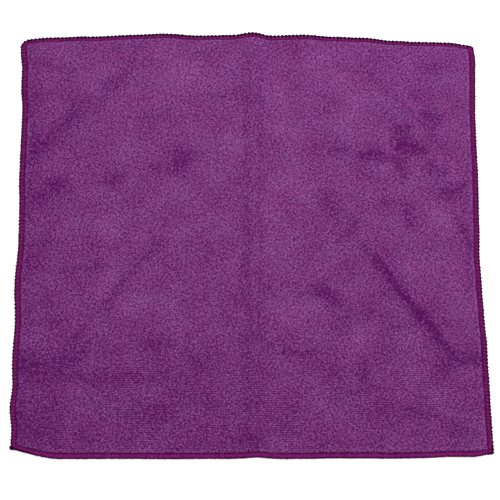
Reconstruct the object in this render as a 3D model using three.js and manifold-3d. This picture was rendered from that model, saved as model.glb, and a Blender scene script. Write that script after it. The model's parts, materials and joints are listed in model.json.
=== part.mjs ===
// Quick dry towel: one square of terry microfibre cloth with a three-thread overlock stitch round its edge.
// Units are millimetres. +X is to the right, +Y to the back and +Z up. The towel lies flat, and the origin
// is on the surface that it lies on, under the middle of the cloth.
//
// The cloth folds in half along the crease through its middle, which runs from the front edge to the back
// edge. So the cloth and each thread are made as a right half and a left half that meet at the crease.

import * as THREE from 'three';
import { mergeVertices } from 'three/addons/utils/BufferGeometryUtils.js';
import Module from 'manifold-3d';

// Driving dimensions
const SIDE = 400; // length and width over the stitching
const CORNER_RADIUS = 8; // the stitching runs round each corner without a break
const PILE_THICKNESS = 2.6; // the cloth away from its edge: a backing with pile on both faces
const CRUSHED_THICKNESS = 1.2; // the same cloth where the stitches squeeze it
const STITCH_THICKNESS = 2.8; // the finished edge, from its lowest thread to its highest
const STITCH_WIDTH = 4.2; // from the outer rim to the needle thread
const LOOPER_THREAD_THICKNESS = 0.5;
const NEEDLE_THREAD_THICKNESS = 0.4;
const NEEDLE_THREAD_WIDTH = 0.6;
const TAIL_RADIUS = 0.9; // the chain of thread where the stitching starts and ends
const TAIL_LENGTH = 2.8;
const TAIL_SIDES = 10;
const TAIL_END_STEPS = 4; // rings of faces on each rounded end
const GAP = 0.3; // clearance between separate pieces
const CORNER_STEPS = 3; // half the number of straight steps round a corner

// Heights above the surface that the towel lies on
const MID_HEIGHT = STITCH_THICKNESS / 2;
const CLOTH_RIM_LOW = MID_HEIGHT - CRUSHED_THICKNESS / 2;
const CLOTH_RIM_HIGH = MID_HEIGHT + CRUSHED_THICKNESS / 2;
const TOP_THREAD_LOW = STITCH_THICKNESS - LOOPER_THREAD_THICKNESS;

// Insets from the outer rim
const CLOTH_RIM = LOOPER_THREAD_THICKNESS + GAP;
const NEEDLE_THREAD_OUTER = STITCH_WIDTH + GAP;
const NEEDLE_THREAD_INNER = NEEDLE_THREAD_OUTER + NEEDLE_THREAD_WIDTH;
const PILE_RIM = NEEDLE_THREAD_INNER + GAP;

const wasm = await Module();
wasm.setup();

const microfibre = new THREE.MeshStandardMaterial({ color: 0x753573, roughness: 0.95, metalness: 0 });
const thread = new THREE.MeshStandardMaterial({ color: 0x771d62, roughness: 0.7, metalness: 0 });

/** The solid that a closed geometry bounds. */
function toSolid(geometry) {
  const bare = geometry.clone();
  bare.deleteAttribute('normal');
  bare.deleteAttribute('uv');
  const merged = mergeVertices(bare);
  return new wasm.Manifold(new wasm.Mesh({
    numProp: 3,
    vertProperties: new Float32Array(merged.attributes.position.array),
    triVerts: new Uint32Array(merged.index.array),
  }));
}

/** Two geometries that meet or overlap, joined into one closed body. */
function join(first, second) {
  const mesh = toSolid(first).add(toSolid(second)).getMesh();
  const geometry = new THREE.BufferGeometry();
  geometry.setAttribute('position', new THREE.BufferAttribute(mesh.vertProperties, 3));
  geometry.setIndex(new THREE.BufferAttribute(mesh.triVerts, 1));
  geometry.computeVertexNormals();
  return geometry;
}

/** The right half's outline at an inset from the rim, from the crease's front end round to its back end. */
function rightOutline(inset) {
  const reach = SIDE / 2 - inset;
  const radius = CORNER_RADIUS - inset;
  const centre = SIDE / 2 - CORNER_RADIUS;
  const path = new THREE.Path();
  path.moveTo(GAP / 2, -reach);
  path.lineTo(centre, -reach);
  path.absarc(centre, -centre, radius, -Math.PI / 2, 0);
  path.absarc(centre, centre, radius, 0, Math.PI / 2);
  path.lineTo(GAP / 2, reach);
  return path.getPoints(CORNER_STEPS);
}

/** Extrudes a right-half plan between two heights. side is +1 for the right half, -1 for the left. */
function extrudePlan(side, points, low, high) {
  const shape = new THREE.Shape(points.map((point) => new THREE.Vector2(side * point.x, point.y)));
  const geometry = new THREE.ExtrudeGeometry(shape, { depth: high - low, bevelEnabled: false });
  return geometry.translate(0, 0, low);
}

/** One half of the towel's area, inside an inset from the rim. */
function halfPlate(side, inset, low, high) {
  return extrudePlan(side, rightOutline(inset), low, high);
}

/** A band that follows the rim of one half, between two insets. */
function halfBand(side, outerInset, innerInset, low, high) {
  const points = [...rightOutline(outerInset), ...rightOutline(innerInset).reverse()];
  return extrudePlan(side, points, low, high);
}

/** The cloth: a squeezed rim under the stitches, and the full pile inside it. */
function clothHalf(side) {
  const rim = halfPlate(side, CLOTH_RIM, CLOTH_RIM_LOW, CLOTH_RIM_HIGH);
  const pile = halfPlate(side, PILE_RIM, 0, PILE_THICKNESS);
  return join(rim, pile);
}

/** The lower looper thread: loops across the underside of the edge and up its rim. */
function lowerLooperThread(side) {
  const underside = halfBand(side, 0, STITCH_WIDTH, 0, LOOPER_THREAD_THICKNESS);
  const rim = halfBand(side, 0, LOOPER_THREAD_THICKNESS, 0, MID_HEIGHT - GAP / 2);
  return join(underside, rim);
}

/** The upper looper thread: loops across the top of the edge and down its rim. */
function upperLooperThread(side) {
  const top = halfBand(side, 0, STITCH_WIDTH, TOP_THREAD_LOW, STITCH_THICKNESS);
  const rim = halfBand(side, 0, LOOPER_THREAD_THICKNESS, MID_HEIGHT + GAP / 2, STITCH_THICKNESS);
  return join(top, rim);
}

/** The needle thread: a line of straight stitches in the groove between the loops and the pile. */
function needleThread(side) {
  const high = TOP_THREAD_LOW + NEEDLE_THREAD_THICKNESS;
  return halfBand(side, NEEDLE_THREAD_OUTER, NEEDLE_THREAD_INNER, TOP_THREAD_LOW, high);
}

const towel = new THREE.Group();

function addPiece(name, geometry, material) {
  const mesh = new THREE.Mesh(geometry, material);
  mesh.name = name;
  towel.add(mesh);
  return mesh;
}

for (const [half, side] of [['right', 1], ['left', -1]]) {
  addPiece(`cloth_${half}_half`, clothHalf(side), microfibre);
  addPiece(`lower_looper_thread_${half}`, lowerLooperThread(side), thread);
  addPiece(`upper_looper_thread_${half}`, upperLooperThread(side), thread);
  addPiece(`needle_thread_${half}`, needleThread(side), thread);
}

// The chain of the three threads' ends lies across the outside of the rounded front left corner.
const straightLength = TAIL_LENGTH - 2 * TAIL_RADIUS;
const tailShape = new THREE.CapsuleGeometry(TAIL_RADIUS, straightLength, TAIL_END_STEPS, TAIL_SIDES);
const tail = addPiece('thread_chain_tail', tailShape, thread);
const tailPlace = TAIL_RADIUS + (straightLength / 2) * Math.SQRT1_2 - SIDE / 2;
tail.position.set(tailPlace, tailPlace, TAIL_RADIUS);
tail.rotation.z = Math.PI / 4;

export default towel;
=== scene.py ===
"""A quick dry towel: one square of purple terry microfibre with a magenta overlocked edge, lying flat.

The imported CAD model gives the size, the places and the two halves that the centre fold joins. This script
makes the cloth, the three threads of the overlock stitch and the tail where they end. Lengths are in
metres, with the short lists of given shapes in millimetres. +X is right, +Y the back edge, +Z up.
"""

import json
import math

import bpy
import numpy as np
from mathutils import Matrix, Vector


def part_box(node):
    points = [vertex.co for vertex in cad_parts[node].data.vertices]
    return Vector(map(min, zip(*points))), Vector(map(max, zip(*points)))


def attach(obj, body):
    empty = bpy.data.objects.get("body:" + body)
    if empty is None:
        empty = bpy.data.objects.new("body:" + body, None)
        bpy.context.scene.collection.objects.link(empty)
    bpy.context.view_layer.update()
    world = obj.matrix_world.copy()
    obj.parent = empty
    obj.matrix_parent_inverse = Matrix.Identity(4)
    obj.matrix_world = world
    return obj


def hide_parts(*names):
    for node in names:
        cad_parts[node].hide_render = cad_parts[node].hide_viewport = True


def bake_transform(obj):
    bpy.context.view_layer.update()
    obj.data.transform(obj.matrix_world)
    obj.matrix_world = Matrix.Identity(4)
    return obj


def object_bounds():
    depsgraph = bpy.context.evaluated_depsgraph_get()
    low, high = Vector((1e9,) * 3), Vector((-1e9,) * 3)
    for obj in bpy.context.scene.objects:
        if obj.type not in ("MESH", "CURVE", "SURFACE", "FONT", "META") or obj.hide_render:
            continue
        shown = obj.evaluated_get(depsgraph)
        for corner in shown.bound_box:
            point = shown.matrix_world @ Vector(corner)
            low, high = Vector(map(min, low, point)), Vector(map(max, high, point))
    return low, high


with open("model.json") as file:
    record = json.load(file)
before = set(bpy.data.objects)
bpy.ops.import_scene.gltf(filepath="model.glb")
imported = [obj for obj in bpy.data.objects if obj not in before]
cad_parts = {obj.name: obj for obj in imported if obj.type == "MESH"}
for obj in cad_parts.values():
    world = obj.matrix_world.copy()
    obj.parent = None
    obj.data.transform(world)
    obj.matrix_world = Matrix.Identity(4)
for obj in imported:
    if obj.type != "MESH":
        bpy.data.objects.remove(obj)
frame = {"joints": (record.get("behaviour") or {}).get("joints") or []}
CAD_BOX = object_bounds()

MM = 0.001

# ------------------------------------------------------------------ sizes, from the frame
HALF_SIDE = CAD_BOX[1].x
EDGE_THICKNESS = CAD_BOX[1].z
MID_HEIGHT = EDGE_THICKNESS / 2
PILE_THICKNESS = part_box("cloth_right_half")[1].z
NEEDLE_INSET = HALF_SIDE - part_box("needle_thread_right")[1].x
FOLD = next(joint for joint in frame["joints"] if joint["name"] == "centre_fold")
FOLD_HEIGHT = FOLD["pos_m"][2]
FOLD_REACH = math.pi * (FOLD_HEIGHT - PILE_THICKNESS / 2) / 2  # half the cloth that the bend takes up
FOLD_OPENING = math.radians(180 - FOLD["range_deg"][1])  # left between the halves when folded

# ------------------------------------------------------------------ how the cloth lies, in millimetres
CORNER_RADII = {(-1, -1): 2.5, (1, -1): 2, (1, 1): 4, (-1, 1): 8}

# Outward shift of each edge from the square: (place along the edge, shift).
# Points past a corner shape its curve.
FRONT_EDGE = [(-216, -9.5), (-158, 1.1), (-20, 1.2), (8, 0.2), (30, 1.2), (95, 0.6),
              (120, 0.8), (150, 0.2), (165, -0.8), (182, -0.6), (200, -3)]
BACK_EDGE = [(-200, -4), (-175, -2), (-140, -0.8), (-100, 0.8), (-75, 2), (-45, 0.3), (-14, 1.1), (3, 2.8),
             (20, 0), (50, 1), (75, -1), (100, -2), (128, -5.5), (150, -6.5), (176, -7), (200, -10.5)]
LEFT_EDGE = [(-200, -1.6), (-182, -2), (-158, 0.3), (-138, -1.2), (-115, -0.3), (-80, -1.3), (-41, 0.4),
             (-5, -1.5), (33, -1), (55, 0), (125, -0.4), (150, 1.3), (166, 1.3), (190, 3.2), (200, 3)]
RIGHT_EDGE = [(-200, 3.8), (-145, 2.5), (-101, 1.6), (-71, 0.2), (-41, -0.8), (-15, -1.7), (12, -0.9),
              (64, -0.2), (90, -0.6), (120, -0.6), (150, 0.3), (180, 1.2), (200, 0)]

# Raised creases: (start, end, height, width to the left of its direction, width to the right)
CREASES = [
    ((6, -200), (6, 130), 1.1, 7, 8),  # the centre fold
    ((4, 120), (4, 215), 2.0, 8, 7),  # and where it stands up at the back edge
    ((-200, 98), (200, 98), 0.45, 8, 7),  # three cross folds, at quarters of the depth
    ((-200, -1), (200, -1), 0.5, 8, 7),
    ((-200, -99), (200, -99), 0.9, 9, 9),
    ((102, -6), (168, -98), 1.7, 20, 5),  # wrinkles
    ((168, -98), (200, -106), 1.5, 16, 6),
    ((-188, 82), (-93, 181), 1.3, 18, 6),
    ((112, 165), (160, 90), 0.9, 14, 6),
    ((-84, -93), (-13, -132), 0.9, 22, 8),
    ((7, -87), (39, -103), 0.8, 16, 6),
    ((39, -103), (71, -92), 0.8, 16, 6),
    ((71, -92), (84, -62), 0.7, 14, 6),
    ((-109, 121), (-72, 124), 0.6, 16, 7),
    ((-58, 141), (-20, 139), 0.6, 14, 7),
    ((-20, 139), (-2, 116), 0.6, 14, 7),
    ((-184, -22), (-128, -26), 0.7, 14, 7),
    ((-154, -112), (-92, -8), 0.7, 14, 8),
    ((-182, 175), (-158, 166), 0.6, 10, 5),
    ((-205, -98), (-160, -126), 1.3, 26, 12),
    ((136, -154), (188, -176), 0.8, 16, 7),
]

# Where the pile lies another way, and painted shade along the creases and wrinkles, painted light at the
# back right and painted shade towards the front: (x, y, half length, half width, angle in degrees, change in
# shade)
NAP_AND_SHADE_MARKS = [
    (40, 90, 200, 110, 0, 0.06),  # the back right catches more light
    (-192, 20, 220, 7, 90, -0.14),  # along the left edge
    (-2, 0, 230, 4, 90, -0.16),  # along the centre fold
    (10, 0, 230, 3.5, 90, -0.13),
    (-165, 105, 30, 9, 50, -0.36),  # back left
    (-187, 83, 13, 6, 70, -0.25),
    (-118, 152, 30, 7, 42, -0.17),
    (-168, 168, 14, 4, -22, -0.22),
    (-187, 137, 10, 8, 0, -0.15),
    (-176, 43, 15, 12, 50, -0.42),
    (-161, 53, 10, 6, -30, -0.2),
    (-116, 57, 10, 8, 0, -0.26),
    (-61, 74, 14, 9, 70, -0.42),
    (-48, 81, 8, 7, 0, -0.2),
    (-82, 67, 7, 6, 0, -0.24),
    (-85, 118, 20, 7, 0, -0.1),
    (-25, 138, 12, 4, 0, -0.16),
    (-55, 160, 32, 16, -20, 0.13),
    (-88, 143, 25, 7, 0, 0.12),
    (-14, 90, 11, 12, 0, 0.16),
    (-122, 8, 12, 8, 0, 0.18),
    (170, 170, 18, 6, 0, -0.14),  # back right
    (148, 140, 12, 6, -60, -0.16),
    (144, 120, 42, 3, -50, -0.24),
    (161, 118, 10, 8, -45, -0.42),
    (134, 106, 9, 6, 0, -0.44),
    (141, 88, 16, 7, -25, -0.52),
    (133, 66, 14, 5, 90, -0.3),
    (104, 80, 13, 7, 10, -0.48),
    (124, 76, 12, 5, 0, -0.22),
    (80, 85, 9, 5, 0, -0.3),
    (164, 65, 11, 6, -40, -0.42),
    (178, 47, 15, 6, 20, -0.34),
    (127, 34, 10, 5, 0, -0.18),
    (138, 22, 14, 6, 90, -0.32),
    (71, 30, 18, 9, -60, -0.24),
    (88, 9, 13, 5, 60, -0.3),
    (187, 4, 16, 4, -70, -0.36),
    (66, 125, 12, 10, 0, -0.1),
    (28, 85, 10, 6, -45, -0.12),
    (86, 140, 32, 10, -70, 0.14),
    (60, 172, 12, 20, 0, 0.1),
    (36, 50, 22, 14, 0, 0.12),
    (30, 130, 50, 10, 90, 0.1),
    (20, 5, 40, 8, 90, 0.12),
    (165, 15, 16, 8, 90, 0.16),
    (-178, -12, 18, 9, 80, -0.2),  # front left
    (-140, -28, 18, 4, 8, -0.2),
    (-101, -32, 34, 4, 52, -0.2),
    (-146, -93, 26, 4, 52, -0.2),
    (-144, -106, 24, 6, 42, -0.28),
    (-170, -60, 20, 14, 0, -0.1),
    (-80, -10, 12, 5, 60, -0.14),
    (-170, -80, 18, 4, 0, -0.16),
    (-190, -116, 30, 12, -12, -0.34),
    (-110, -128, 62, 6, 0, -0.2),
    (-76, -98, 14, 6, 0, -0.26),
    (-44, -114, 16, 6, -28, -0.24),
    (-100, -162, 30, 6, 12, -0.16),
    (-183, -172, 26, 22, 0, -0.24),
    (-100, -160, 110, 50, 0, -0.1),
    (-5, -186, 14, 10, 0, -0.14),
    (-138, -142, 45, 6, 0, 0.1),
    (-122, -43, 16, 6, 60, 0.14),
    (-98, -62, 16, 8, 20, 0.13),
    (-10, -35, 16, 8, 90, 0.12),
    (10, -94, 14, 5, -20, -0.18),  # front right
    (38, -106, 22, 3, 0, -0.24),
    (81, -78, 13, 5, 75, -0.22),
    (66, -52, 14, 8, -50, -0.44),
    (103, -70, 6, 5, 0, -0.2),
    (113, -26, 24, 3, -54, -0.54),
    (149, -76, 36, 3, -54, -0.62),
    (140, -66, 48, 12, -54, -0.14),
    (184, -112, 22, 6, -8, -0.36),
    (165, -121, 8, 7, 0, -0.24),
    (97, -125, 9, 6, 90, -0.26),
    (98, -139, 13, 4, 15, -0.22),
    (72, -124, 8, 6, 90, -0.2),
    (100, -158, 20, 7, 0, -0.14),
    (148, -163, 26, 4, -22, -0.2),
    (176, -178, 14, 9, 0, -0.12),
    (34, -175, 11, 6, 0, -0.18),
    (-40, -165, 60, 30, 0, -0.05),
    (110, -160, 100, 40, 0, -0.05),
    (88, -104, 13, 9, 75, 0.16),
    (40, -72, 24, 14, 0, 0.12),
    (178, -38, 24, 8, 90, 0.14),
    (150, -28, 16, 8, 0, 0.12),
    (56, -150, 13, 9, 0, 0.1),
    (18, -135, 9, 7, 0, 0.1),
]

# Half the cloth's thickness at a distance in from the rim: squeezed, then a groove, then the full pile
HALF_THICKNESS = [(0.5, 0.5), (3, 0.6), (3.7, 0.35), (4.6, 0.35), (5.4, 1.1), (6.3, 1.45), (8.5, 1.3)]

# ------------------------------------------------------------------ how the cloth lies, in metres
SHIFT_REACH = 120 * MM  # how far in from an edge its waver is felt
REST_LIFT = 0.45 * MM  # mean gap under the cloth
BROAD_LIFT = {"height": 0.28 * MM, "length": 90 * MM, "count": 9, "seed": 3}
SMALL_LIFT = {"height": 0.1 * MM, "length": 30 * MM, "count": 12, "seed": 4}
CREASE_END = 12 * MM  # a crease fades out over this length past its ends
PILE_CLEARANCE = 0.35 * MM  # for the tips of the pile and the fuller pile beside the stitches
NAP_AND_SHADE_SEED = 7
NAP_AND_SHADE_BENDS = [(1.3 * MM, 24 * MM), (1.1 * MM, 8 * MM)]  # size and length of the bends of each mark's edge
NAP_AND_SHADE_BEND_COUNT = 12
WAVE_SPREAD = (0.7, 1.4)  # shortest and longest wave, of the length asked for
LIMIT_SHARPNESS = 4  # how suddenly a tall crease stops growing


# ------------------------------------------------------------------ shape helpers
def through(knots, places):
    """A smooth line through (place, value) knots in millimetres, read at places in metres."""
    at, value = np.array(knots, float).T * MM
    i = np.clip(np.searchsorted(at, places) - 1, 0, len(at) - 2)
    t = np.clip((places - at[i]) / (at[i + 1] - at[i]), 0, 1)
    return value[i] + (value[i + 1] - value[i]) * t * t * (3 - 2 * t)


def plan_shift(x, y):
    """How far a point of the flat square lies from its place, because the edges waver."""

    def fade(distance):
        return np.clip(1 - distance / SHIFT_REACH, 0, 1) ** 2

    right = through(RIGHT_EDGE, y) * fade(HALF_SIDE - x)
    left = through(LEFT_EDGE, y) * fade(HALF_SIDE + x)
    back = through(BACK_EDGE, x) * fade(HALF_SIDE - y)
    front = through(FRONT_EDGE, x) * fade(HALF_SIDE + y)
    return right - left, back - front


def waves(x, y, length, count, random):
    """Smooth unevenness of about unit height, as a sum of plane waves of about that length."""
    total = np.zeros_like(x)
    for _ in range(count):
        direction = random.uniform(0, 2 * math.pi)
        number = 2 * math.pi / (length * random.uniform(*WAVE_SPREAD))
        phase = random.uniform(0, 2 * math.pi)
        total += np.sin(number * (x * math.cos(direction) + y * math.sin(direction)) + phase)
    return total / math.sqrt(count)


def folded_room(x):
    """How far each half may stand up at x and still clear the other one when the towel is folded."""
    return FOLD_HEIGHT - PILE_THICKNESS - PILE_CLEARANCE + abs(x) * math.sin(FOLD_OPENING) / 2


def limited(height, room):
    """The height where it is small, and never quite the room where it is large."""
    return height / (1 + (height / room) ** LIMIT_SHARPNESS) ** (1 / LIMIT_SHARPNESS)


def lift(x, y):
    """How far the underside of the cloth stands off the surface that it lies on."""
    total = np.full_like(x, REST_LIFT)
    for wave in (BROAD_LIFT, SMALL_LIFT):
        random = np.random.default_rng(wave["seed"])
        total += wave["height"] * waves(x, y, wave["length"], wave["count"], random)
    for start, end, height, width_left, width_right in CREASES:
        start, end = np.array(start) * MM, np.array(end) * MM
        length = math.dist(start, end)
        along = (end - start) / length
        u = (x - start[0]) * along[0] + (y - start[1]) * along[1]
        v = (y - start[1]) * along[0] - (x - start[0]) * along[1]
        width = np.where(v > 0, width_left, width_right) * MM
        past_end = np.maximum(np.maximum(-u, u - length), 0) / CREASE_END
        total += height * MM * np.exp(-((v / width) ** 2) - past_end**2)
    return limited(np.maximum(total, 0), folded_room(x))


def nap_and_painted_shade(x, y):
    """How much lighter or darker the pile looks where it leans another way, with painted shade along the
    creases and wrinkles and painted light and shade across the cloth.
    """
    random = np.random.default_rng(NAP_AND_SHADE_SEED)
    x = x + sum(size * waves(x, y, length, NAP_AND_SHADE_BEND_COUNT, random) for size, length in NAP_AND_SHADE_BENDS)
    y = y + sum(size * waves(x, y, length, NAP_AND_SHADE_BEND_COUNT, random) for size, length in NAP_AND_SHADE_BENDS)
    total = np.zeros_like(x)
    for centre_x, centre_y, half_length, half_width, angle, change in NAP_AND_SHADE_MARKS:
        turn = math.radians(angle)
        dx, dy = x - centre_x * MM, y - centre_y * MM
        u = (dx * math.cos(turn) + dy * math.sin(turn)) / (half_length * MM)
        v = (dy * math.cos(turn) - dx * math.sin(turn)) / (half_width * MM)
        total += change * np.exp(-(u**4) - v**2)
    return total


def place(x, y, z):
    """Points of the flat towel, moved to where the laid towel has them."""
    dx, dy = plan_shift(x, y)
    return np.stack([x + dx, y + dy, z + lift(x, y)], axis=-1)


def round_corners(x, y):
    """Bends the corners of a square grid round their radii. Distances from the edges stay as they are."""
    x, y = x.copy(), y.copy()
    for (side_x, side_y), radius in CORNER_RADII.items():
        centre = HALF_SIDE - radius * MM
        dx, dy = side_x * x - centre, side_y * y - centre
        inside = (dx > 0) & (dy > 0)
        reach = np.maximum(dx, dy) / np.maximum(np.hypot(dx, dy), 1e-9)
        x[inside] = (side_x * (centre + dx * reach))[inside]
        y[inside] = (side_y * (centre + dy * reach))[inside]
    return x, y


def mesh_object(name, points, faces):
    """A mesh object from arrays of points and four-sided faces."""
    mesh = bpy.data.meshes.new(name)
    mesh.vertices.add(len(points))
    mesh.vertices.foreach_set("co", points.astype(np.float32).ravel())
    mesh.loops.add(faces.size)
    mesh.loops.foreach_set("vertex_index", faces.astype(np.int32).ravel())
    mesh.polygons.add(len(faces))
    mesh.polygons.foreach_set("loop_start", np.arange(0, faces.size, 4, dtype=np.int32))
    mesh.polygons.foreach_set("use_smooth", np.full(len(faces), True))
    mesh.update(calc_edges=True)
    mesh.validate()
    piece = bpy.data.objects.new(name, mesh)
    bpy.context.scene.collection.objects.link(piece)
    return piece


def store(piece, name, values):
    """Keeps a value or a vector for each vertex, for the piece's material to read."""
    vector = values.ndim == 2
    attribute = piece.data.attributes.new(name, "FLOAT_VECTOR" if vector else "FLOAT", "POINT")
    attribute.data.foreach_set("vector" if vector else "value", values.astype(np.float32).ravel())


# ------------------------------------------------------------------ the cloth
GRID_STEP = 0.9 * MM
FOLD_STEP = 0.6 * MM
FOLD_MARGIN = 2 * MM  # the finer grid goes this much further than the bend
RIM_STEPS = np.array([0.8, 1.6, 2.6, 3.3, 3.9, 4.4, 4.8, 5.2, 5.7, 6.3, 7, 7.7, 8.5, 9.3]) * MM
PILE_INSET = 4.7 * MM  # where the pile starts
LOOP_PITCH = (1.9 * MM, 2.0 * MM)
LOOP_JITTER = (0.4, 0.28)  # of a pitch
LOOP_HEIGHT = 0.28 * MM
LOWEST_LOOP = 0.8  # of the highest
LOOP_FALL = 1.6  # how fast a loop's dome falls off with the distance in pitches
LOOP_SEEDS = (5, 6)  # the upper face and the underside
PILE_RISE = 1.5 * MM  # the pile comes up to its full height over this width
EDGE_SEED = 8
EDGE_TIPS = {"most": 0.45, "at": 1.5 * MM, "width": 0.9 * MM}  # pale tips of the first row of pile
GROOVE_SHADE = -0.26  # painted shade in the groove
GROOVE_WIDTH = 0.8 * MM
STITCHED_SHADE = -0.28  # and painted shade under the stitches
BACK_FAINTER_EDGE_WIDTH = 7 * MM  # along the back edge, within this width, the painted shade and pale tips are fainter
BACK_FAINTER_EDGE_SHARE = 0.1  # of the edge's shading, left there
UNDERSIDE_NAP_AND_SHADE = -0.4  # the underside's marks and painted shade: weaker than the upper face's, and the other way
UNDERSIDE_APART = 0.5  # how far apart the two faces lie in the noise, so that they differ


def grid_line(fine_reach):
    """Places of the grid's lines from one edge to the other, closer at the edges and in the fold."""
    inner = HALF_SIDE - RIM_STEPS[-1]
    fine = np.arange(0, fine_reach, FOLD_STEP)
    start = fine[-1] if len(fine) else 0
    coarse = np.linspace(start, inner, 2 + int((inner - start) / GRID_STEP))[1:-1]
    half = np.concatenate([fine, coarse, HALF_SIDE - RIM_STEPS[::-1]])
    half = half[half > 0]
    return np.concatenate([-half[::-1], [0], half])


def terry_loops(x, y, seed):
    """Domes of the loops, from 0 in the gaps to 1: staggered rows, each loop a little off its place."""
    random = np.random.default_rng(seed)
    across, down = (x + HALF_SIDE) / LOOP_PITCH[0], (y + HALF_SIDE) / LOOP_PITCH[1]
    column, row = np.floor(across).astype(int), np.floor(down).astype(int)
    shape = (row.max() + 3, column.max() + 4)
    shift_x = random.uniform(-LOOP_JITTER[0], LOOP_JITTER[0], shape)
    shift_y = random.uniform(-LOOP_JITTER[1], LOOP_JITTER[1], shape)
    height = random.uniform(LOWEST_LOOP, 1, shape)
    dome = np.zeros_like(x)
    for i in (-1, 0, 1):
        for j in (-1, 0, 1):
            at = (row + j + 1, column + i + 1)
            centre_x = column + i + 0.5 + shift_x[at] + 0.5 * ((row + j) % 2) - 0.25
            centre_y = row + j + 0.5 + shift_y[at]
            distance = np.hypot(across - centre_x, down - centre_y)
            dome = np.maximum(dome, height[at] * (1 - LOOP_FALL * distance**2))
    return dome


def edge_shade(past_start, from_back):
    """How much lighter or darker the cloth is beside the stitches, by its distance past the pile's start:
    pale tips, and painted shade in the groove and under the stitches.
    """
    edge = np.random.default_rng(EDGE_SEED).uniform(0, EDGE_TIPS["most"], past_start.size)
    edge *= np.exp(-(((past_start - EDGE_TIPS["at"]) / EDGE_TIPS["width"]) ** 2))
    edge += GROOVE_SHADE * np.exp(-((past_start / GROOVE_WIDTH) ** 2))
    edge[past_start < 0] = STITCHED_SHADE
    edge[from_back < BACK_FAINTER_EDGE_WIDTH] *= BACK_FAINTER_EDGE_SHARE
    return edge


def closed_faces(rows, columns):
    """Faces of a closed sheet, from a grid of upper points and then the same grid of lower ones."""
    number = np.arange(rows * columns).reshape(rows, columns)
    corners = (number[:-1, :-1], number[:-1, 1:], number[1:, 1:], number[1:, :-1])
    quads = np.stack(corners, -1).reshape(-1, 4)
    ring = np.concatenate([number[0, :-1], number[:-1, -1], number[-1, :0:-1], number[:0:-1, 0]])
    following = np.roll(ring, -1)
    below = rows * columns
    rim = np.stack([ring, ring + below, following + below, following], -1)
    return np.concatenate([quads, quads[:, ::-1] + below, rim])


def make_cloth():
    """The terry cloth: one closed sheet with pile on both faces and a squeezed rim."""
    line_x = grid_line(FOLD_REACH + FOLD_MARGIN)
    line_y = grid_line(0)
    grid_x, grid_y = np.meshgrid(line_x, line_y)
    inset = HALF_SIDE - np.maximum(abs(grid_x), abs(grid_y))
    flat_x, flat_y = round_corners(grid_x, grid_y)
    half = through(HALF_THICKNESS, inset)
    full = PILE_THICKNESS / 2
    fluff = np.clip((inset - PILE_INSET) / PILE_RISE, 0, 1)
    domes = [terry_loops(flat_x, flat_y, seed) * fluff for seed in LOOP_SEEDS]
    upper = full + half + (domes[0] - 0.5) * fluff * LOOP_HEIGHT
    lower = np.maximum(full - half - (domes[1] - 0.5) * fluff * LOOP_HEIGHT, 0)
    sides = [place(flat_x, flat_y, level).reshape(-1, 3) for level in (upper, lower)]
    cloth = mesh_object("terry_cloth", np.concatenate(sides), closed_faces(*grid_x.shape))
    flat = np.stack([flat_x.ravel(), flat_y.ravel()], -1)
    apart = np.repeat([[0.0], [UNDERSIDE_APART]], len(flat), axis=0)
    store(cloth, "flat_place", np.concatenate([np.concatenate([flat, flat]), apart], axis=1))
    store(cloth, "loops", np.concatenate([dome.ravel() for dome in domes]))
    # marks of leaning pile with painted light and shade, and beside the stitches painted shade
    shade = nap_and_painted_shade(flat_x, flat_y).ravel()
    edge = edge_shade(inset.ravel() - PILE_INSET, HALF_SIDE - flat_y.ravel())
    store(cloth, "nap_and_painted_shade", np.concatenate([shade + edge, edge + UNDERSIDE_NAP_AND_SHADE * shade]))
    return cloth


# ------------------------------------------------------------------ the overlock stitch
STITCH_PITCH = 2.35 * MM
WIDE_STITCH_PITCH = 3.3 * MM  # all but the front edge stretched more as they were sewn
STEPS_PER_STITCH = 14
LOOPER_SPREAD = 0.235  # radius of the bulky looper threads, of a pitch
NEEDLE_RADIUS = 0.22 * MM
TUBE_SIDES = 6
CORNER_STEPS = 25
LOOPER_SEEDS = {1: 21, -1: 31}  # the upper thread and the lower one
LOOPER_INNER = 0.65 * MM  # how far short of the needle thread the loops turn back
LOOPER_INNER_BACK = 0.25 * MM  # less of it along the back edge
LOOPER_OUTER = 0.35 * MM
LOOPER_OUTER_SHIFT = 0.25 * MM  # the upper thread turns nearer the rim than the lower one
ALONG_WOBBLE = 0.15 * MM
INNER_WOBBLE = 0.3 * MM
OUTER_WOBBLE = 0.2 * MM
RIM_ROUNDING = 1.7 * MM  # the loops come round the rim over this width
RIM_FULLNESS = 2.2  # 2 would round the rim as an ellipse does
TURN_DIP = 0.3 * MM  # the loops dip where they turn back at the needle thread
TURN_SHARE = 0.2  # of the way across
HOOK_DEPTH = 0.55 * MM
HOOK_SHARE = 0.08  # of the way across
NEEDLE_DIVE = 14  # how short the dives between two stitches are
NEEDLE_TOP = PILE_THICKNESS - 0.25 * MM
NEEDLE_LOW = 0.4 * MM
NEEDLE_SHIFT = 0.1 * MM
# painted shade on the needle thread, which lies in the groove
NEEDLE_SHADE = 0.4

# Painted shade: a dark line along the rim, of a different width on the upper face along each edge
RIM_SHADE_REACH = 0.8 * MM
BACK_RIM_SHADE = 2.3 * MM
SIDE_RIM_SHADE = 0.8 * MM
FRONT_RIM_SHADE = 0.3 * MM
CORNER_RIM_SHADE = 2.2 * MM
CORNER_RIM_SHADE_REACH = 4.5 * MM
TAIL_END_RIM_SHADE = 1.2 * MM  # more along the front edge, up to the corner with the tail
TAIL_END_REACH = 16 * MM
BACK_CREST = {"at": 3.6 * MM, "strength": 0.5}  # where the loops catch the light
FRONT_CREST = {"at": 2.3 * MM, "strength": 0.3}
CREST_WIDTH = 0.6 * MM

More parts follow.
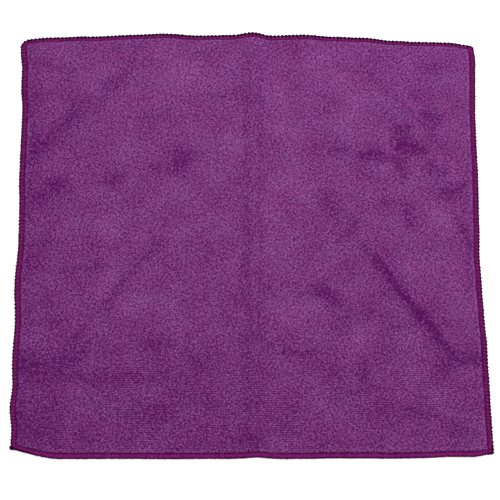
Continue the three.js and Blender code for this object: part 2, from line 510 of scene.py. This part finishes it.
TAIL_PLACE = (-HALF_SIDE + 1.3 * MM, -HALF_SIDE + 1.6 * MM)
TAIL_STEPS = 70
TAIL_START = math.radians(60)
TAIL_TURNS = 1.6
TAIL_CURL = 1.7 * MM
TAIL_TWISTS = 6
TAIL_STRANDS = 3
TAIL_STRAND_RADIUS = 0.48 * MM
TAIL_STRAND_OFFSET = 0.44 * MM
TAIL_CLOSING = 0.35  # how much the curl closes up from start to end
TAIL_RISE = 1.6 * MM
TAIL_TAPER = 0.04  # of its length, at each end
TAIL_TIP = 0.05  # of its radius, at its very ends
# painted shade on the curled tail
TAIL_SHADE = 0.9


def outline():
    """The rim of the flat towel, as close points with inward directions and the length run so far."""
    points, inward = [], []
    for start_angle, (side_x, side_y) in ((-90, (1, -1)), (0, (1, 1)), (90, (-1, 1)), (180, (-1, -1))):
        radius = CORNER_RADII[(side_x, side_y)] * MM
        centre = np.array([side_x, side_y]) * (HALF_SIDE - radius)
        for angle in np.radians(start_angle + np.linspace(0, 90, CORNER_STEPS)):
            out = np.array([math.cos(angle), math.sin(angle)])
            points.append(centre + radius * out)
            inward.append(-out)
    points.append(points[0])
    inward.append(inward[0])
    points, inward = np.array(points), np.array(inward)
    length = np.concatenate([[0], np.cumsum(np.hypot(*np.diff(points, axis=0).T))])
    return points, inward, length


def pitch_at(inward_y):
    """The length of a stitch, by how much the edge there faces the front."""
    return WIDE_STITCH_PITCH + (STITCH_PITCH - WIDE_STITCH_PITCH) * np.maximum(inward_y, 0) ** 2


def count_stitches():
    """Stitches from the start of the outline to each of its points, a whole number all the way round."""
    middle = (OUTLINE_INWARD[1:, 1] + OUTLINE_INWARD[:-1, 1]) / 2
    count = np.concatenate([[0], np.cumsum(np.diff(OUTLINE_LENGTH) / pitch_at(middle))])
    return count * round(count[-1]) / count[-1]


OUTLINE_POINTS, OUTLINE_INWARD, OUTLINE_LENGTH = outline()
OUTLINE_STITCHES = count_stitches()
STITCH_COUNT = round(OUTLINE_STITCHES[-1])


def on_rim(along, inset):
    """Flat x and y at a length along the rim and an inset from it."""
    along = np.mod(along, OUTLINE_LENGTH[-1])
    x, y, inward_x, inward_y = (
        np.interp(along, OUTLINE_LENGTH, values)
        for values in (*OUTLINE_POINTS.T, *OUTLINE_INWARD.T)
    )
    return x + inset * inward_x, y + inset * inward_y, np.stack([inward_x, inward_y, 0 * x], -1)


def sweep(name, points, guide, radius, painted_shade_and_highlight, closed=True):
    """A tube of that radius along points, with a guide direction at each that the tube never runs along.

    The last value says how much painted shade darkens each point along the rim, and where it is below 0, how
    much painted highlight lightens it.
    """
    if closed:
        run = np.roll(points, -1, 0) - np.roll(points, 1, 0)
    else:
        run = np.gradient(points, axis=0)
    run /= np.linalg.norm(run, axis=1, keepdims=True)
    first = guide - np.sum(guide * run, axis=1, keepdims=True) * run
    first /= np.linalg.norm(first, axis=1, keepdims=True)
    second = np.cross(run, first)
    turn = 2 * np.pi * np.arange(TUBE_SIDES) / TUBE_SIDES
    radius = np.broadcast_to(radius, len(points))[:, None, None]
    ring = np.cos(turn)[:, None] * first[:, None] + np.sin(turn)[:, None] * second[:, None]
    skin = (points[:, None] + radius * ring).reshape(-1, 3)
    number = np.arange(len(points) * TUBE_SIDES).reshape(len(points), TUBE_SIDES)
    after = np.roll(number, -1, 0)
    here = number if closed else number[:-1]
    after = after if closed else after[:-1]
    faces = np.stack([here, np.roll(here, -1, 1), np.roll(after, -1, 1), after], -1).reshape(-1, 4)
    tube = mesh_object(name, skin, faces)
    along = np.concatenate([[0], np.cumsum(np.linalg.norm(np.diff(points, axis=0), axis=1))])
    around = np.tile(np.arange(TUBE_SIDES) / TUBE_SIDES, len(points))
    store(tube, "thread_place", np.stack([np.repeat(along, TUBE_SIDES), around, 0 * around], -1))
    store(tube, "rest_place", skin)
    store(tube, "painted_shade_and_highlight", np.repeat(np.broadcast_to(painted_shade_and_highlight, len(points)), TUBE_SIDES))
    return tube


def stitch_phases():
    """Stitch number at each step of a thread, from 0 to the number of stitches round the towel."""
    return np.arange(STITCH_COUNT * STEPS_PER_STITCH) / STEPS_PER_STITCH


def wobble(phases, amount, seed):
    """A small difference from stitch to stitch."""
    each = np.random.default_rng(seed).uniform(-amount, amount, STITCH_COUNT + 1)
    each[-1] = each[0]
    return np.interp(phases, np.arange(STITCH_COUNT + 1), each)


def rim_shade_and_highlight(x, y, inset, inward):
    """Painted shade along the rim for each point of a thread, less where its loops catch the light, down to
    a painted highlight.
    """
    across, along = inward[:, 0] ** 2, inward[:, 1] ** 2
    shaded_width = SIDE_RIM_SHADE * across + np.where(inward[:, 1] < 0, BACK_RIM_SHADE, FRONT_RIM_SHADE) * along
    from_corner = np.hypot(HALF_SIDE - abs(x), HALF_SIDE - abs(y))
    shaded_width += CORNER_RIM_SHADE * np.exp(-((from_corner / CORNER_RIM_SHADE_REACH) ** 2))
    from_tail = (x + HALF_SIDE) / TAIL_END_REACH
    shaded_width += TAIL_END_RIM_SHADE * np.exp(-(from_tail**2)) * np.maximum(inward[:, 1], 0)
    depth = np.exp(-((np.maximum(inset - shaded_width, 0) / RIM_SHADE_REACH) ** 2))
    at_back = inward[:, 1] < 0
    crest_at = np.where(at_back, BACK_CREST["at"], FRONT_CREST["at"])
    crest = np.exp(-(((inset - crest_at) / CREST_WIDTH) ** 2))
    return depth - np.where(at_back, BACK_CREST["strength"], FRONT_CREST["strength"]) * crest * along


def make_looper_thread(name, side):
    """Loops across one face of the edge. side is 1 for the upper thread and -1 for the lower one."""
    seed = LOOPER_SEEDS[side]
    phases = stitch_phases()
    crossing = 0.5 - 0.5 * side * np.cos(2 * np.pi * phases)  # 0 at the rim, 1 at the needle thread
    along = np.interp(phases, OUTLINE_STITCHES, OUTLINE_LENGTH)
    along += wobble(phases, ALONG_WOBBLE, seed + 2)
    at_back = np.maximum(-on_rim(along, 0)[2][:, 1], 0) ** 2
    inner = NEEDLE_INSET - LOOPER_INNER + LOOPER_INNER_BACK * at_back
    inner += wobble(phases, INNER_WOBBLE, seed)
    outer = LOOPER_OUTER - LOOPER_OUTER_SHIFT * side + wobble(phases, OUTER_WOBBLE, seed + 1)
    inset = outer + (inner - outer) * crossing
    x, y, inward = on_rim(along, inset)
    radius = LOOPER_SPREAD * pitch_at(inward[:, 1])
    over_rim = np.clip(inset / RIM_ROUNDING, 0, 1)
    height = (MID_HEIGHT - radius) * np.sqrt(1 - (1 - over_rim) ** RIM_FULLNESS)
    height -= TURN_DIP * np.clip((crossing - 1 + TURN_SHARE) / TURN_SHARE, 0, 1)
    height -= HOOK_DEPTH * np.clip(1 - crossing / HOOK_SHARE, 0, 1)  # hooks over the other looper thread
    points = place(x, y, MID_HEIGHT + side * height)
    rim_run = np.cross(inward, [0, 0, 1])
    return sweep(name, points, rim_run, radius, rim_shade_and_highlight(x, y, inset, inward))


def make_needle_thread():
    """Straight stitches on the upper face, each going down through the cloth into the next one."""
    phases = stitch_phases()
    dive = np.cos(np.pi * (phases + 0.5)) ** NEEDLE_DIVE
    along = np.interp(phases, OUTLINE_STITCHES, OUTLINE_LENGTH)
    x, y, inward = on_rim(along, NEEDLE_INSET - NEEDLE_SHIFT)
    points = place(x, y, NEEDLE_TOP - (NEEDLE_TOP - NEEDLE_LOW) * dive)
    return sweep("needle_thread", points, inward, NEEDLE_RADIUS, NEEDLE_SHADE)


def make_chain_tail(number):
    """One of the three threads that run off the front left corner as a short chain, curled into a knot."""
    turns = np.linspace(0, 1, TAIL_STEPS)
    angle = TAIL_START + 2 * np.pi * TAIL_TURNS * turns
    reach = TAIL_CURL * (1 - TAIL_CLOSING * turns)
    twist = 2 * np.pi * (TAIL_TWISTS * turns + number / TAIL_STRANDS)
    out = reach + TAIL_STRAND_OFFSET * np.cos(twist)
    x = TAIL_PLACE[0] + out * np.cos(angle)
    y = TAIL_PLACE[1] + out * np.sin(angle)
    z = TAIL_STRAND_RADIUS + TAIL_STRAND_OFFSET * (1 + np.sin(twist)) + TAIL_RISE * turns
    taper = np.minimum(1, np.minimum(turns, 1 - turns) / TAIL_TAPER + TAIL_TIP)
    upward = np.tile([0.0, 0.0, 1.0], (TAIL_STEPS, 1))
    name = f"chain_tail_thread_{number + 1}"
    return sweep(name, place(x, y, z), upward, TAIL_STRAND_RADIUS * taper, TAIL_SHADE, closed=False)


# ------------------------------------------------------------------ materials
# Colours are linear, and scales of noise are in steps per metre.
GAP_COLOUR = (0.063, 0.0005, 0.067)  # the dark gaps in the pile
TIP_COLOUR = (0.125, 0.047, 0.114)  # what a tip of 1 adds to it
TIP_LIMIT = 2.0
WARM_TINT = (1.04, 0.9, 0.97)
COOL_TINT = (0.96, 1.1, 1.03)
CLOTH_BUMP = (0.6, 0.3 * MM)  # strength and depth
CLOTH_SETTINGS = {
    "Roughness": 0.95,
    "Specular IOR Level": 0.1,
    "Sheen Weight": 0.06,
    "Sheen Roughness": 0.5,
    "Sheen Tint": (0.75, 0.45, 0.8, 1),
}
TUFT_SCALE = 1150.0
FIBRE_NOISES = ((0.6, 580.0), (-0.35, 760.0))  # turn and scale of the two noises that cross each other
PATCH_SCALE = 40.0
SPECKLE_SCALE = 260.0
TINT_SCALE = 42.0
ROW_BEND_SCALE = 25.0
ROW_BEND = 3.0  # radians
ROWS_FROM = -0.1  # knitted rows show near the front, where the pile lies flatter
ROWS_FULL = -0.125
ROW_STRENGTH = 0.34
ROW_PATCHES = (0.4, 0.62)  # of the noise that bends them: faint at the first, in full at the second
ROW_FAINTEST = 0.1
LOOP_TIPS = (0.3, 0.53)  # what each layer adds, on the way from the gaps' colour to the tips'; the loops' part is painted shade low between the loops and painted light on their tops
TUFT_TIPS = 0.28
FIBRE_TIPS = 0.72
FIBRE_RANGE = (0.4, 1.6)  # where most of the two fibre noises' sum lies
PATCH_TIPS = 0.18
PATCH_RANGE = (0.2, 0.8)
MARK_SPECKLE = (0.35, 1.65)  # the leaning pile and the painted light and shade are broken up by this much
NOISE_RANGE = (0.3, 0.7)  # where most of a noise's values lie

RIM_SHADE_COLOUR = (-0.153, -0.007, -0.097)  # what painted shade along the rim adds to the thread's colour; a painted highlight takes it away
THREAD_COLOUR = (0.172, 0.008, 0.117)
PLIES = 2
PLY_LENGTH = 1.1 * MM
FIBRE_SCALE = 1500.0
UNEVEN_SCALE = 300.0
PLY_SHADE = (0.85, 1.12)  # from the dark of each layer to its light; the plies' part is painted shade between the plies
FIBRE_SHADE = (0.8, 1.2)
UNEVEN_SHADE = (0.75, 1.25)
THREAD_BUMP = (0.5, 0.08 * MM)
THREAD_SETTINGS = {"Roughness": 0.65, "Specular IOR Level": 0.02}

FLOOR_SETTINGS = {
    "Base Color": (0.96, 0.96, 0.96, 1),
    "Emission Color": (1, 1, 1, 1),
    "Emission Strength": 0.55,  # makes the contact shadow paler than light alone would
    "Roughness": 0.9,
    "Specular IOR Level": 0.1,
}


def node_maker(material):
    """Returns a function that adds a node with its settings and its inputs, as values or as links."""
    tree = material.node_tree

    def add(kind, inputs=(), **settings):
        node = tree.nodes.new(kind)
        for name, value in settings.items():
            setattr(node, name, value)
        for key, value in dict(inputs).items():
            if isinstance(value, bpy.types.NodeSocket):
                tree.links.new(value, node.inputs[key])
            else:
                node.inputs[key].default_value = value
        return node

    return add


def new_material(name, settings):
    """A material whose shader has those settings, with its node maker and its shader."""
    material = bpy.data.materials.new(name)
    material.use_nodes = True
    shader = material.node_tree.nodes["Principled BSDF"]
    for key, value in settings.items():
        shader.inputs[key].default_value = value
    return material, node_maker(material), shader


def stored(add, name, output="Fac"):
    """A value that was kept for each vertex."""
    return add("ShaderNodeAttribute", attribute_name=name).outputs[output]


def noise(add, where, scale, detail):
    """Smooth noise with coarser and finer parts."""
    return add("ShaderNodeTexNoise", {"Vector": where, "Scale": scale, "Detail": detail}).outputs["Fac"]


def times(add, first, second):
    return add("ShaderNodeMath", {0: first, 1: second}, operation="MULTIPLY").outputs[0]


def plus(add, first, second):
    return add("ShaderNodeMath", {0: first, 1: second}, operation="ADD").outputs[0]


def remap(add, value, low, high, to_low, to_high):
    """Maps a value from one range to another, held at the ends."""
    return add(
        "ShaderNodeMapRange",
        {"Value": value, "From Min": low, "From Max": high, "To Min": to_low, "To Max": to_high},
    ).outputs["Result"]


def flat_noise(add, where, turn, scale):
    """Fine even noise of one size only, turned by an angle."""
    turned = add("ShaderNodeMapping", {"Vector": where, "Rotation": (0, 0, turn)}).outputs["Vector"]
    inputs = {"Vector": turned, "Scale": scale, "Detail": 0.0}
    return add("ShaderNodeTexNoise", inputs, noise_dimensions="2D").outputs["Fac"]


def knitted_rows(add, where):
    """The rows of the knit, bent a little, where they show."""
    down = add("ShaderNodeSeparateXYZ", {0: where}).outputs[1]
    bend = noise(add, where, ROW_BEND_SCALE, detail=1.0)
    row = plus(add, times(add, down, 2 * math.pi / LOOP_PITCH[1]), times(add, bend, ROW_BEND))
    row = add("ShaderNodeMath", {0: row}, operation="SINE").outputs[0]
    combed = remap(add, down, ROWS_FROM, ROWS_FULL, 0, ROW_STRENGTH)
    combed = times(add, combed, remap(add, bend, *ROW_PATCHES, ROW_FAINTEST, 1))
    return times(add, row, combed)


def pile_tips(add, where, tuft, fibres):
    """How far the pile goes, from place to place, from the colour of its gaps to the colour of its tips."""
    patches = noise(add, where, PATCH_SCALE, detail=3.0)
    speckle = noise(add, where, SPECKLE_SCALE, detail=1.0)
    # marks of leaning pile, with painted light and shade and the painted shade beside the stitches
    leaning_and_painted_shade = times(add, stored(add, "nap_and_painted_shade"), remap(add, speckle, *NOISE_RANGE, *MARK_SPECKLE))
    # painted shade between the loop domes, painted light on their tops
    tip = remap(add, stored(add, "loops"), 0, 1, *LOOP_TIPS)
    tip = plus(add, tip, remap(add, tuft, 0, 1, -TUFT_TIPS, TUFT_TIPS))
    tip = plus(add, tip, remap(add, fibres, *FIBRE_RANGE, -FIBRE_TIPS, FIBRE_TIPS))
    tip = plus(add, tip, remap(add, patches, *PATCH_RANGE, -PATCH_TIPS, PATCH_TIPS))
    tip = plus(add, plus(add, tip, knitted_rows(add, where)), leaning_and_painted_shade)
    return add("ShaderNodeClamp", {"Value": tip, "Max": TIP_LIMIT}).outputs[0]


def pile_colour(add, where, tip):
    """The pile's colour, with patches that are a little redder or bluer."""
    inputs = {0: TIP_COLOUR, 1: tip, 2: GAP_COLOUR}
    colour = add("ShaderNodeVectorMath", inputs, operation="MULTIPLY_ADD").outputs[0]
    cool = noise(add, where, TINT_SCALE, detail=3.0)
    channels = {i: remap(add, cool, *NOISE_RANGE, WARM_TINT[i], COOL_TINT[i]) for i in range(3)}
    tint = add("ShaderNodeCombineXYZ", channels).outputs[0]
    return add("ShaderNodeVectorMath", {0: colour, 1: tint}, operation="MULTIPLY").outputs[0]


def set_surface(material, add, shader, colour, height, strength, depth):
    """Links the colour and a bump of that strength and depth to the shader."""
    bump = add("ShaderNodeBump", {"Height": height, "Strength": strength, "Distance": depth}).outputs[0]
    material.node_tree.links.new(colour, shader.inputs["Base Color"])
    material.node_tree.links.new(bump, shader.inputs["Normal"])


def make_cloth_material():
    """Terry microfibre: loops with dark gaps and pale tips, fine fibres, and patches of leaning pile and of
    painted light and shade.
    """
    material, add, shader = new_material("terry_microfibre", CLOTH_SETTINGS)
    where = stored(add, "flat_place", "Vector")
    tuft = add("ShaderNodeTexVoronoi", {"Vector": where, "Scale": TUFT_SCALE}).outputs["Color"]
    tuft = add("ShaderNodeSeparateXYZ", {0: tuft}).outputs[0]
    fibres = plus(add, *[flat_noise(add, where, turn, scale) for turn, scale in FIBRE_NOISES])
    colour = pile_colour(add, where, pile_tips(add, where, tuft, fibres))
    height = times(add, plus(add, tuft, fibres), 0.5)
    set_surface(material, add, shader, colour, height, *CLOTH_BUMP)
    return material


def make_thread_material():
    """Textured polyester thread: twisted plies with painted shade between them, fine fibres, and painted
    shade and highlights along the rim.
    """
    material, add, shader = new_material("overlock_thread", THREAD_SETTINGS)
    parts = add("ShaderNodeSeparateXYZ", {0: stored(add, "thread_place", "Vector")})
    twist = plus(add, times(add, parts.outputs[0], 1 / PLY_LENGTH), parts.outputs[1])
    ply = add("ShaderNodeMath", {0: times(add, twist, 2 * math.pi * PLIES)}, operation="SINE").outputs[0]
    spot = stored(add, "rest_place", "Vector")
    fibres = noise(add, spot, FIBRE_SCALE, detail=2.0)
    uneven = noise(add, spot, UNEVEN_SCALE, detail=2.0)
    # painted shade between the twisted plies
    shade = remap(add, ply, -1, 1, *PLY_SHADE)
    shade = times(add, shade, remap(add, fibres, *NOISE_RANGE, *FIBRE_SHADE))
    shade = times(add, shade, remap(add, uneven, *NOISE_RANGE, *UNEVEN_SHADE))
    # painted shade along the rim and painted highlights on the loops
    inputs = {0: stored(add, "painted_shade_and_highlight"), 1: RIM_SHADE_COLOUR, 2: THREAD_COLOUR}
    colour = add("ShaderNodeVectorMath", inputs, operation="MULTIPLY_ADD").outputs[0]
    colour = add("ShaderNodeVectorMath", {0: colour, "Scale": shade}, operation="SCALE").outputs[0]
    set_surface(material, add, shader, colour, plus(add, ply, fibres), *THREAD_BUMP)
    return material


# ------------------------------------------------------------------ assembly
def finish_piece(piece, material, nodes):
    """Gives a piece its material, hides the CAD parts that it replaces and bakes its placement into its
    mesh.
    """
    piece.data.materials.append(material)
    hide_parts(*nodes)
    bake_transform(piece)


terry = make_cloth_material()
thread = make_thread_material()

cloth = make_cloth()
finish_piece(cloth, terry, ["cloth_left_half", "cloth_right_half"])

upper = make_looper_thread("upper_looper_thread", 1)
finish_piece(upper, thread, ["upper_looper_thread_left", "upper_looper_thread_right"])

lower = make_looper_thread("lower_looper_thread", -1)
finish_piece(lower, thread, ["lower_looper_thread_left", "lower_looper_thread_right"])

needle = make_needle_thread()
finish_piece(needle, thread, ["needle_thread_left", "needle_thread_right"])

chain_tail = [make_chain_tail(number) for number in range(TAIL_STRANDS)]
for piece in chain_tail:
    piece.data.materials.append(thread)
    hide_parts("thread_chain_tail")
    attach(piece, "left_half")


# ------------------------------------------------------------------ floor, light and camera
FLOOR_SIZE = 6
FLOOR_GAP = 0.1 * MM
KEY_PLACE = (0.55, 1.1, 1.3)  # a soft light from behind and to the right
KEY_SIZE = 1.2
KEY_POWER = 24
SKY_STRENGTH = 1.05
CAMERA_ELEVATION = math.radians(65.55)  # the photo's viewing angle, from its outline
CAMERA_DISTANCE = 2.281
CAMERA_TARGET = (1 * MM, -9.5 * MM, 0)
CAMERA_LENS = 190.8
CAMERA_SENSOR = 36


def make_floor():
    """A plain pale floor that also glows a little."""
    bpy.ops.mesh.primitive_plane_add(size=FLOOR_SIZE, location=(0, 0, -FLOOR_GAP))
    floor = bpy.context.object
    floor.name = "floor"
    floor.data.materials.append(new_material("pale_floor", FLOOR_SETTINGS)[0])


def aim(thing, target):
    """Turns a light or the camera to face a point."""
    direction = np.array(target) - np.array(thing.location)
    tilt = math.pi / 2 + math.atan2(direction[2], math.hypot(direction[0], direction[1]))
    thing.rotation_euler = (tilt, 0, math.atan2(-direction[0], direction[1]))


def make_key_light():
    data = bpy.data.lights.new("key", "AREA")
    data.size = KEY_SIZE
    data.energy = KEY_POWER
    light = bpy.data.objects.new("key", data)
    light.location = KEY_PLACE
    aim(light, (0, 0, 0))
    bpy.context.scene.collection.objects.link(light)


def make_camera():
    data = bpy.data.cameras.new("camera")
    data.sensor_width = CAMERA_SENSOR
    data.lens = CAMERA_LENS
    camera = bpy.data.objects.new("camera", data)
    camera.location = (
        CAMERA_TARGET[0],
        CAMERA_TARGET[1] - CAMERA_DISTANCE * math.cos(CAMERA_ELEVATION),
        CAMERA_TARGET[2] + CAMERA_DISTANCE * math.sin(CAMERA_ELEVATION),
    )
    aim(camera, CAMERA_TARGET)
    bpy.context.scene.collection.objects.link(camera)
    bpy.context.scene.camera = camera


def make_world():
    world = bpy.data.worlds.new("studio")
    world.use_nodes = True
    sky = world.node_tree.nodes["Background"]
    sky.inputs["Color"].default_value = (1, 1, 1, 1)
    sky.inputs["Strength"].default_value = SKY_STRENGTH
    bpy.context.scene.world = world


make_floor()
make_key_light()
make_camera()
make_world()
bpy.context.scene.view_settings.view_transform = "Standard"
